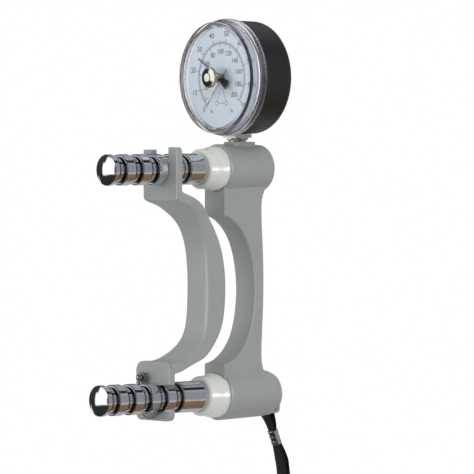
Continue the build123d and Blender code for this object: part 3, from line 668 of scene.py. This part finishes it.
class DYNO_OT_stage(bpy.types.Operator):
    """Pale floor, soft lamps, room and camera."""

    bl_idname = "dyno.stage"
    bl_label = "Stage"

    def execute(self, context):
        stage = context.scene.dyno_stage
        target = Vector((0, HOUSING_FRONT - 20 * MM, 0))
        a, e = stage.azimuth, stage.elevation
        back = Vector((math.sin(a) * math.cos(e), -math.cos(a) * math.cos(e), math.sin(e)))
        right = Vector((math.cos(a), math.sin(a), 0))
        up = right.cross(back) * -1
        eye = target + back * stage.distance
        aim = target + right * stage.aim_right + up * stage.aim_up
        data = bpy.data.cameras.new("camera")
        data.lens = stage.focal
        data.sensor_width = 36
        data.clip_end = 60
        camera = new_object("camera", data)
        camera.location = eye
        camera.rotation_euler = (aim - eye).to_track_quat("-Z", "Y").to_euler()
        context.scene.camera = camera
        self.floor()
        self.lamps(target)
        self.room(context)
        context.scene.view_settings.view_transform = "Standard"
        return {"FINISHED"}

    def floor(self):
        """A large pale disc below the strap."""
        bm = bmesh.new()
        bmesh.ops.create_circle(bm, cap_ends=True, segments=96, radius=14.0)
        mesh = bpy.data.meshes.new("floor")
        bm.to_mesh(mesh)
        bm.free()
        made = new_object("floor", mesh)
        made.location = (0, 0, CAD_BOX[0].z - 4 * MM)
        material, tree, shader = start_material("pale_floor", Roughness=0.9)
        shader.inputs["Base Color"].default_value = (0.8, 0.8, 0.8, 1)
        shader.inputs["Specular IOR Level"].default_value = 0.0
        glow = tree.nodes.new("ShaderNodeEmission")
        rays = tree.nodes.new("ShaderNodeLightPath")
        mix = mix_shaders(tree, rays.outputs["Is Camera Ray"], shader.outputs[0], glow.outputs[0])
        wire(tree, mix, tree.nodes["Material Output"].inputs["Surface"])
        mesh.materials.append(material)
        made.visible_glossy = False

    def lamps(self, target):
        """Softboxes as area lamps aimed at the object; the room carries their reflections."""
        boxes = (
            ("key", (1.6, -0.9, 1.3), (1.2, 1.2), 9.0),
            ("fill", (-0.9, -1.7, 0.3), (1.0, 1.4), 8.0),
            ("top", (0.2, 0.3, 2.0), (1.6, 1.6), 4.0),
            ("rear", (1.4, 1.3, 0.2), (0.8, 1.4), 4.0),
        )
        for name, place_at, size, power in boxes:
            area_lamp(name, target + Vector(place_at), target, size, power).visible_glossy = False
        self.glint("collar", 121.0, (1.5, 0.11), 24.0, ("upper_bushing", "lower_bushing"))
        self.glint("edge", 46.0, (0.12, 1.2), 30.0, ("body_casting", "adjustable_handle"))

    def glint(self, name, degrees, size, power, nodes):
        """A narrow lamp that only some nodes catch, for the thin highlights on them."""
        a = math.radians(degrees)
        spot = Vector((math.sin(a), -math.cos(a), 0.03)) * 1.5
        lamp = area_lamp(name + "_glint", spot, Vector(), size, power)
        lamp.visible_diffuse = False
        only = bpy.data.collections.new(name + "_receivers")
        for receiver in nodes:
            only.objects.link(NODES[receiver])
        lamp.light_linking.receiver_collection = only

    def room(self, context):
        """White to the eye, soft grey to matt surfaces, and a banded room with softboxes to glossy ones."""
        world = bpy.data.worlds.new("room")
        world.use_nodes = True
        tree = world.node_tree
        tree.nodes.clear()
        where = node(tree, "ShaderNodeTexCoord").outputs["Generated"]
        split = node(tree, "ShaderNodeSeparateXYZ")
        wire(tree, where, split.inputs[0])
        walls = node(tree, "ShaderNodeBackground", Color=(0.96, 0.985, 1.0, 1))
        wire(tree, remap(tree, split.outputs["Z"], -0.6, 0.7, 0.42, 0.66), walls.inputs["Strength"])
        about_y = maths(tree, "ARCTAN2", split.outputs["Z"], split.outputs["X"])
        turn = maths(tree, "DIVIDE", about_y, 2 * math.pi)
        bands = tree.nodes.new("ShaderNodeValToRGB")
        wire(tree, maths(tree, "ADD", turn, 0.5), bands.inputs[0])
        self.ramp(bands, ROOM_BANDS)
        front = self.front_room(tree, where, split)
        swap = remap(tree, split.outputs["Y"], -0.05, 0.15, 0.0, 1.0)
        gloss = node(tree, "ShaderNodeBackground")
        wire(tree, blend_colour(tree, swap, front, bands.outputs[0]), gloss.inputs["Color"])
        white = node(tree, "ShaderNodeBackground", Color=(1, 1, 1, 1))
        rays = node(tree, "ShaderNodeLightPath")
        first = mix_shaders(tree, rays.outputs["Is Glossy Ray"], walls.outputs[0], gloss.outputs[0])
        straight = maths(tree, "MAXIMUM", rays.outputs["Is Camera Ray"], rays.outputs["Is Transmission Ray"])
        second = mix_shaders(tree, straight, first, white.outputs[0])
        out = node(tree, "ShaderNodeOutputWorld")
        wire(tree, second, out.inputs["Surface"])
        context.scene.world = world

    def ramp(self, bands, stops):
        """Fill a colour ramp from (position in degrees about the Y axis, colour) pairs."""
        steps = bands.color_ramp.elements
        while len(steps) > 1:
            steps.remove(steps[-1])
        for count, (degrees, tint) in enumerate(stops):
            step = steps[0] if count == 0 else steps.new(0.5 + degrees / 360)
            step.position = 0.5 + degrees / 360
            step.color = (*tint, 1)

    def front_room(self, tree, where, split):
        """The dark side behind the camera with its softboxes."""
        shade = remap(tree, split.outputs["Z"], -0.8, 0.9, 0.025, 0.05)
        colour_so_far = grey(tree, shade)
        for degrees, rise, width, height, strength in SOFTBOXES:
            a, e = math.radians(degrees), math.radians(rise)
            centre = Vector((math.sin(a) * math.cos(e), -math.cos(a) * math.cos(e), math.sin(e)))
            across = Vector((math.cos(a), math.sin(a), 0))
            up = across.cross(centre) * -1
            mask = None
            for axis, size in ((across, width), (up, height)):
                away = maths(tree, "ABSOLUTE", dot(tree, where, axis))
                part = remap(tree, away, size, size + 0.08, 1.0, 0.0)
                mask = part if mask is None else times(tree, mask, part)
            mask = times(tree, mask, maths(tree, "GREATER_THAN", dot(tree, where, centre), 0.0))
            colour_so_far = blend_colour(tree, mask, colour_so_far, (strength, strength, strength))
        return colour_so_far


# the room as a turned surface sees it: degrees about the Y axis from +X through +Z, and colour
ROOM_BANDS = (
    (-179, (0.03, 0.03, 0.032)),
    (-172, (0.03, 0.03, 0.032)),
    (-165, (0.42, 0.43, 0.44)),
    (-100, (0.46, 0.46, 0.47)),
    (-84, (0.20, 0.12, 0.07)),
    (-34, (0.26, 0.155, 0.085)),
    (-26, (0.55, 0.55, 0.56)),
    (-14, (0.30, 0.30, 0.33)),
    (34, (0.29, 0.30, 0.34)),
    (50, (0.40, 0.41, 0.46)),
    (56, (0.02, 0.02, 0.02)),
    (74, (0.03, 0.03, 0.035)),
    (80, (0.42, 0.42, 0.50)),
    (140, (0.34, 0.34, 0.40)),
    (156, (0.03, 0.03, 0.033)),
)
# degrees round from the front, rise, half width, half height (as sines), strength
SOFTBOXES = (
    (-23, 10, 0.31, 0.34, 1.45),
    (-47, 2, 0.09, 0.20, 1.3),
    (-98, -20, 0.16, 0.14, 1.2),
    (47, 6, 0.02, 0.40, 1.1),
)


class DYNO_OT_castings(bpy.types.Operator):
    """Paint the body casting and the adjustable handle."""

    bl_idname = "dyno.castings"
    bl_label = "Castings"

    def execute(self, context):
        finish = context.scene.dyno_finish
        paint = cast_paint("grey_paint", tuple(finish.paint), finish.paint_roughness)
        finish_nodes(paint, "body_casting", "adjustable_handle")
        return {"FINISHED"}


class DYNO_OT_posts(bpy.types.Operator):
    """Plate the posts and finish the nylon bushings."""

    bl_idname = "dyno.posts"
    bl_label = "Posts and bushings"

    def execute(self, context):
        finish = context.scene.dyno_finish
        for name in ("upper_post", "lower_post"):
            chrome = plated(name + "_chrome", tuple(finish.chrome), 0.045, 2400.0)
            # painted shade and reflection in the grooves, set into the plating's colour
            self.shade_grooves(chrome, middle(name).z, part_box(name)[0].y + 4 * MM)
            finish_nodes(chrome, name)
        nylon = moulded("bush_nylon", tuple(finish.nylon), 0.22, 1500.0, 0.03, 0.02)
        shader = nylon.node_tree.nodes["Principled BSDF"]
        shader.inputs["Subsurface Weight"].default_value = 0.12
        shader.inputs["Subsurface Radius"].default_value = (0.002, 0.002, 0.0018)
        finish_nodes(nylon, "upper_bushing", "lower_bushing")
        return {"FINISHED"}

    def shade_grooves(self, material, axis_z, first_y):
        """Darken the plating low in the grooves with painted shade and dark painted reflection, leaving a
        lighter painted reflection line across each groove.
        """
        tree = material.node_tree
        shader = tree.nodes["Principled BSDF"]
        plain = shader.inputs["Base Color"].links[0].from_socket
        depth = place(tree, axis_radius(), Height=axis_z)
        low = remap(tree, depth.outputs["Radius"], 8.0 * MM, 9.1 * MM, 1.0, 0.0)
        along = maths(tree, "GREATER_THAN", depth.outputs["Along"], first_y)
        from_middle = maths(tree, "SUBTRACT", depth.outputs["Along"], first_y + 4.7 * MM)
        wave = maths(tree, "COSINE", times(tree, from_middle, 2 * math.pi / GROOVE_PITCH))
        # a lighter painted reflection line between two dark painted bands in each groove
        painted_light_line = remap(tree, wave, 0.82, 0.93, 0.9, 0.2)
        mask = times(tree, times(tree, low, along), painted_light_line)
        # near-black painted shade and dark reflection blended into the plating low in the grooves
        wire(tree, blend_colour(tree, mask, plain, (0.03, 0.03, 0.032)), shader.inputs["Base Color"])


class DYNO_OT_gauge(bpy.types.Operator):
    """Finish the gauge's case, cover, dial, hands, knob and socket."""

    bl_idname = "dyno.gauge"
    bl_label = "Gauge"

    def execute(self, context):
        finish = context.scene.dyno_finish
        finish_nodes(moulded("case_black", tuple(finish.case), 0.36, 1300.0, 0.10, 0.10), "gauge_case")
        finish_nodes(clear_cover("clear_cover", tuple(finish.lens)), "lens_cover")
        finish_nodes(printed("dial_ground", tuple(finish.dial), 0.5, 50.0), "dial_plate")
        finish_nodes(printed("hand_black", tuple(finish.ink), 0.45, 300.0), "peak_hand")
        finish_nodes(machined("hand_bare", (0.62, 0.64, 0.66), 0.38, 0.6), "pointer")
        finish_nodes(plated("knob_plate", tuple(finish.knob), 0.09, 5200.0), "reset_knob")
        finish_nodes(machined("bush_brass", tuple(finish.brass), 0.22), "knob_bush", "reset_shaft")
        finish_nodes(machined("socket_metal", tuple(finish.socket), 0.26), "gauge_socket")
        finish_nodes(machined("washer_nickel", (0.56, 0.53, 0.46), 0.34), "socket_washer")
        finish_nodes(moulded("plug_rubber", tuple(finish.rubber), 0.66, 900.0, 0.18),
                     "relief_plug", "lens_gasket")
        finish_nodes(machined("screw_steel", tuple(finish.steel), 0.25), "dial_screws")
        return {"FINISHED"}


class DYNO_OT_inner_works(bpy.types.Operator):
    """Finish the movement, the tube, the seals and the springs."""

    bl_idname = "dyno.inner_works"
    bl_label = "Inner works"

    def execute(self, context):
        finish = context.scene.dyno_finish
        finish_nodes(machined("movement_brass", tuple(finish.brass), 0.28),
                     "movement_plates", "sector_gear", "movement_link", "pointer_arbor")
        finish_nodes(machined("tube_bronze", (0.62, 0.42, 0.24), 0.30), "bourdon_tube")
        finish_nodes(machined("spring_steel", tuple(finish.steel), 0.24),
                     "upper_return_spring", "lower_return_spring")
        finish_nodes(moulded("seal_rubber", tuple(finish.rubber), 0.5, 1400.0, 0.06),
                     "upper_piston_seal", "lower_piston_seal")
        return {"FINISHED"}


class DYNO_OT_small_metal(bpy.types.Operator):
    """Finish the rivet, the strap pin and the rear plug."""

    bl_idname = "dyno.small_metal"
    bl_label = "Small metal parts"

    def execute(self, context):
        finish = context.scene.dyno_finish
        finish_nodes(machined("rivet_steel", tuple(finish.steel), 0.24), "clip_rivet", "strap_pin")
        finish_nodes(machined("plug_steel", tuple(c * 0.8 for c in finish.steel), 0.30), "rear_plug")
        return {"FINISHED"}


class DYNO_OT_dial_print(bpy.types.Operator):
    """Scales, numbers and small diagrams printed on the dial."""

    bl_idname = "dyno.dial_print"
    bl_label = "Dial printing"

    def execute(self, context):
        dial = context.scene.dyno_dial
        finish = context.scene.dyno_finish
        self.bm = bmesh.new()
        self.depth = DIAL_FRONT - 0.02 * MM
        last = dial.zero_angle - dial.per_kilogram * dial.full_scale
        self.arc(dial.arc_radius, dial.zero_angle, last, 0.32 * MM)
        for kilo in range(dial.full_scale + 1):
            reach = 2.6 if kilo % 10 == 0 else 1.9 if kilo % 5 == 0 else 1.25
            width = 0.5 if kilo % 10 == 0 else 0.28
            self.tick(dial.zero_angle - dial.per_kilogram * kilo, dial.arc_radius, reach * MM, width * MM)
        pound = dial.per_kilogram * KG_PER_POUND
        for lb in range(0, 201, 2):
            reach = 2.3 if lb % 20 == 0 else 1.7 if lb % 10 == 0 else 1.05
            width = 0.45 if lb % 20 == 0 else 0.24
            self.tick(dial.zero_angle - pound * lb, dial.arc_radius, -reach * MM, width * MM)
        self.diagrams()
        for kilo in range(10, dial.full_scale + 1, 10):
            self.number(str(kilo), dial.zero_angle - dial.per_kilogram * kilo,
                        dial.outer_number_radius, dial.outer_number_size)
        for lb in range(20, 201, 20):
            self.number(str(lb), dial.zero_angle - pound * lb, dial.inner_number_radius, dial.inner_number_size)
        self.number("0", dial.zero_angle, dial.outer_number_radius - 1 * MM, dial.outer_number_size * 0.8)
        self.word("kg", (-9.4 * MM, -20.6 * MM), 2.9 * MM)
        self.word("lb", (9.6 * MM, -20.6 * MM), 2.9 * MM)
        mesh = bpy.data.meshes.new("dial_print")
        self.bm.to_mesh(mesh)
        self.bm.free()
        add_object("dial_print", mesh, printed("scale_ink", tuple(finish.ink), 0.5, 400.0),
                   "dynamometer_body")
        for face in mesh.polygons:
            face.use_smooth = False
        return {"FINISHED"}

    def at(self, x, z):
        """A point on the dial's face."""
        return Vector((GAUGE_CENTRE.x + x, self.depth, GAUGE_CENTRE.z + z))

    def patch(self, corners):
        """A thin inked shape with a little thickness."""
        front = [self.bm.verts.new(self.at(*c)) for c in corners]
        rear = [self.bm.verts.new(v.co + Vector((0, 0.015 * MM, 0))) for v in front]
        self.bm.faces.new(front)
        self.bm.faces.new(list(reversed(rear)))
        for i in range(len(front)):
            j = (i + 1) % len(front)
            self.bm.faces.new((front[j], front[i], rear[i], rear[j]))

    def stroke(self, first, second, width):
        """A straight inked line."""
        run = Vector((second[0] - first[0], second[1] - first[1]))
        side = Vector((-run.y, run.x)).normalized() * width / 2
        self.patch([(first[0] - side.x, first[1] - side.y), (second[0] - side.x, second[1] - side.y),
                    (second[0] + side.x, second[1] + side.y), (first[0] + side.x, first[1] + side.y)])

    def tick(self, angle, radius, reach, width):
        """A mark across the scale's arc."""
        c, s = math.cos(angle), math.sin(angle)
        self.stroke((radius * c, radius * s), ((radius + reach) * c, (radius + reach) * s), width)

    def arc(self, radius, first, last, width, centre=(0, 0), steps=90):
        """A curved inked line."""
        angles = [first + (last - first) * k / steps for k in range(steps + 1)]
        for a, b in zip(angles, angles[1:]):
            self.patch([
                (centre[0] + r * math.cos(t), centre[1] + r * math.sin(t))
                for r, t in ((radius - width / 2, a), (radius - width / 2, b),
                             (radius + width / 2, b), (radius + width / 2, a))
            ])

    def diagrams(self):
        """Small generic line drawings below the middle."""
        thin = 0.32 * MM
        for x in (-4.4 * MM, 4.4 * MM):
            self.arc(1.3 * MM, 0, 2 * math.pi, thin, (x, -15.8 * MM), 20)
            self.stroke((x * 0.93, -14.5 * MM), (x * 0.2, -6.6 * MM), thin)
        self.stroke((-3.1 * MM, -15.8 * MM), (3.1 * MM, -15.8 * MM), thin)
        corners = [(-16.6, -14.8), (-13.9, -12.2), (-11.4, -14.4),
                   (-15.2, -19.8), (-17.6, -18.2), (-14.9, -16.6)]
        corners = [(x * MM, z * MM) for x, z in corners]
        for a, b in zip(corners, corners[1:] + corners[:1]):
            self.stroke(a, b, thin)

    def letters(self, text, size):
        """Turn text into a mesh centred on the origin in its own plane."""
        data = bpy.data.curves.new("text", "FONT")
        data.body = text
        data.size = size
        data.align_x = "CENTER"
        data.align_y = "CENTER"
        data.extrude = 0.008 * MM
        data.offset = size * 0.012
        data.resolution_u = 4
        return as_mesh("text", data)

    def word(self, text, place_at, size):
        """Upright text centred on a point of the dial."""
        mesh = self.letters(text, size)
        spot = self.at(*place_at)
        mesh.transform(Matrix.Translation(spot) @ Matrix.Rotation(math.pi / 2, 4, "X"))
        self.bm.from_mesh(mesh)
        bpy.data.meshes.remove(mesh)

    def number(self, text, angle, radius, size):
        """A number on a circle about the dial's centre."""
        self.word(text, (radius * math.cos(angle), radius * math.sin(angle)), size)


class DYNO_OT_wire_clip(bpy.types.Operator):
    """Bend the clip's wire: a coil round the rivet and a leg under the post."""

    bl_idname = "dyno.wire_clip"
    bl_label = "Wire clip"

    def execute(self, context):
        soft = context.scene.dyno_soft
        finish = context.scene.dyno_finish
        low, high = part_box("handle_clip")
        pivot = middle("clip_rivet")
        axis_z = LOWER_AXIS.z
        radius = soft.wire_radius
        turns, steps = 2.25, 54
        y0, y1 = high.y - radius - 0.05 * MM, low.y + radius + 0.05 * MM
        line = []
        for k in range(steps + 1):
            share = k / steps
            a = math.pi - 2 * math.pi * turns * (1 - share)
            line.append(Vector((pivot.x + soft.coil_radius * math.cos(a), y0 + (y1 - y0) * share,
                                pivot.z + soft.coil_radius * math.sin(a))))
        x = line[-1].x
        bends = [line[-1], Vector((x, y1, pivot.z - 2.2 * MM)), Vector((x - 0.3 * MM, y1, axis_z + 5 * MM))]
        for degrees, reach in ((176, 11.5), (200, 11.6), (224, 11.6), (248, 11.7), (272, 11.9), (296, 12.3),
                               (314, 12.8), (325, 13.9), (331, 15.6)):
            a = math.radians(degrees)
            bends.append(Vector((reach * MM * math.cos(a), y1, axis_z + reach * MM * math.sin(a))))
        line += read_spline(bends)[1:]
        made = add_object("clip_wire", tube(line, radius), machined("clip_wire", tuple(finish.wire), 0.20),
                          "wire_clip")
        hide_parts("handle_clip")
        return {"FINISHED"}


class DYNO_OT_wrist_strap(bpy.types.Operator):
    """Weave the wrist loop along its route."""

    bl_idname = "dyno.wrist_strap"
    bl_label = "Wrist strap"

    def execute(self, context):
        soft = context.scene.dyno_soft
        finish = context.scene.dyno_finish
        route = [(48.5, -101.2), (51.8, -110.0), (53.6, -118.5), (54.2, -128.0), (53.4, -142.0),
                 (50.0, -162.0), (45.0, -190.0), (41.5, -216.0), (44.5, -238.0), (56.0, -251.0),
                 (71.0, -250.0), (81.0, -237.0), (83.5, -216.0), (80.0, -190.0), (71.0, -162.0),
                 (62.0, -142.0), (57.6, -128.0), (56.0, -118.5), (54.9, -109.5), (50.3, -101.2)]
        line = read_spline([Vector((0, HOUSING_FRONT + y * MM, z * MM)) for y, z in route])
        width, thick = soft.strap_width, soft.strap_thickness

        def width_at(share):
            near = min(share, 1 - share) / 0.035
            return width * (0.60 + 0.40 * min(1.0, near) ** 0.7)

        def thickness_at(share):
            near = min(share, 1 - share) / 0.03
            return thick * (1.35 - 0.35 * min(1.0, near))

        mesh = ribbon(line, width_at, thickness_at)
        made = add_object("wrist_loop", mesh, woven("strap_webbing", tuple(finish.webbing)),
                          "dynamometer_body")
        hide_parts("wrist_strap")
        return {"FINISHED"}


class DYNO_OT_strap_loop(bpy.types.Operator):
    """Weave the short loop that goes over the pin."""

    bl_idname = "dyno.strap_loop"
    bl_label = "Strap loop"

    def execute(self, context):
        soft = context.scene.dyno_soft
        pin = middle("strap_pin")
        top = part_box("strap_crimp")[1].z
        reach = 2.0 * MM
        points = [(CRIMP_Y - 0.7 * MM, top - 1.6 * MM), (CRIMP_Y - 2.6 * MM, top + 3.4 * MM),
                  (pin.y - reach - 0.1 * MM, pin.z - 3.4 * MM), (pin.y - reach, pin.z + 0.9 * MM),
                  (pin.y - 0.9 * MM, pin.z + reach + 0.1 * MM), (pin.y + 0.9 * MM, pin.z + reach + 0.1 * MM),
                  (pin.y + reach, pin.z + 0.9 * MM), (pin.y + reach + 0.5 * MM, pin.z - 3.4 * MM),
                  (CRIMP_Y + 0.4 * MM, top + 3.4 * MM), (CRIMP_Y + 0.9 * MM, top - 1.6 * MM)]
        line = read_spline([Vector((0, y, z)) for y, z in points])

        def width_at(share):
            near = min(share, 1 - share) / 0.36
            return soft.strap_width * (0.60 + 0.38 * min(1.0, near) ** 1.2)

        mesh = ribbon(line, width_at, lambda share: soft.strap_thickness)
        material = bpy.data.materials.get("strap_webbing")
        if material is None:
            raise RuntimeError("build the wrist strap before its loop")
        made = add_object("pin_loop", mesh, material, "dynamometer_body")
        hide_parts("strap_anchor_loop")
        return {"FINISHED"}


class DYNO_OT_ferrule(bpy.types.Operator):
    """Press the ferrule that gathers the webbing."""

    bl_idname = "dyno.ferrule"
    bl_label = "Ferrule"

    def execute(self, context):
        finish = context.scene.dyno_finish
        first = Vector((0, CRIMP_Y, -93.2 * MM))
        last = Vector((0, HOUSING_FRONT + 49.6 * MM, -102.0 * MM))
        along = (last - first).normalized()
        out = Vector((1, 0, 0)).cross(along).normalized()
        rings = []
        steps, sides = 26, 40

        def ridge(share, centre, spread):
            return math.exp(-((share - centre) / spread) ** 2)

        for i in range(steps + 1):
            share = i / steps
            dent = 0.30 * MM * (ridge(share, 0.33, 0.09) + ridge(share, 0.67, 0.09))
            lip = 0.12 * MM * (ridge(share, 0.03, 0.03) + ridge(share, 0.97, 0.03))
            edge = 0.25 * MM if i in (0, steps) else 0.0
            ring = []
            for k in range(sides):
                a = 2 * math.pi * k / sides
                x = math.copysign(abs(math.cos(a)) ** 0.72, math.cos(a)) * (3.15 * MM + lip - edge)
                y = math.copysign(abs(math.sin(a)) ** 0.72, math.sin(a)) * (2.7 * MM + lip - edge - dent)
                ring.append(first.lerp(last, share) + Vector((x, 0, 0)) + out * y)
            rings.append(ring)
        made = add_object("ferrule", skin(rings), machined("ferrule_metal", tuple(finish.ferrule), 0.30),
                          "dynamometer_body")
        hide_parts("strap_crimp")
        return {"FINISHED"}


class DYNO_PT_panel(bpy.types.Panel):
    """Buttons for every piece of the dynamometer."""

    bl_idname = "DYNO_PT_panel"
    bl_label = "Dynamometer"
    bl_space_type = "VIEW_3D"
    bl_region_type = "UI"
    bl_category = "Dynamometer"

    def draw(self, context):
        column = self.layout.column(align=True)
        for operator in OPERATORS:
            column.operator(operator.bl_idname)
        for group in ("dyno_finish", "dyno_dial", "dyno_soft", "dyno_stage"):
            box = self.layout.box()
            settings = getattr(context.scene, group)
            for name in settings.__annotations__:
                box.prop(settings, name)


SETTINGS = {
    "dyno_finish": DynoFinish,
    "dyno_dial": DynoDial,
    "dyno_soft": DynoSoft,
    "dyno_stage": DynoStage,
}
OPERATORS = (
    DYNO_OT_stage,
    DYNO_OT_wrist_strap,
    DYNO_OT_strap_loop,
    DYNO_OT_ferrule,
    DYNO_OT_castings,
    DYNO_OT_posts,
    DYNO_OT_wire_clip,
    DYNO_OT_small_metal,
    DYNO_OT_gauge,
    DYNO_OT_dial_print,
    DYNO_OT_inner_works,
)


def register():
    """Register the settings, the operators and the panel."""
    for name, group in SETTINGS.items():
        bpy.utils.register_class(group)
        setattr(bpy.types.Scene, name, PointerProperty(type=group))
    for operator in OPERATORS:
        bpy.utils.register_class(operator)
    bpy.utils.register_class(DYNO_PT_panel)


def unregister():
    """Remove the panel, the operators and the settings."""
    bpy.utils.unregister_class(DYNO_PT_panel)
    for operator in reversed(OPERATORS):
        bpy.utils.unregister_class(operator)
    for name, group in SETTINGS.items():
        delattr(bpy.types.Scene, name)
        bpy.utils.unregister_class(group)


def main():
    """Build every piece in order."""
    register()
    for operator in OPERATORS:
        area, name = operator.bl_idname.split(".")
        getattr(getattr(bpy.ops, area), name)()
    bpy.context.view_layer.update()


if __name__ == "__main__":
    main()
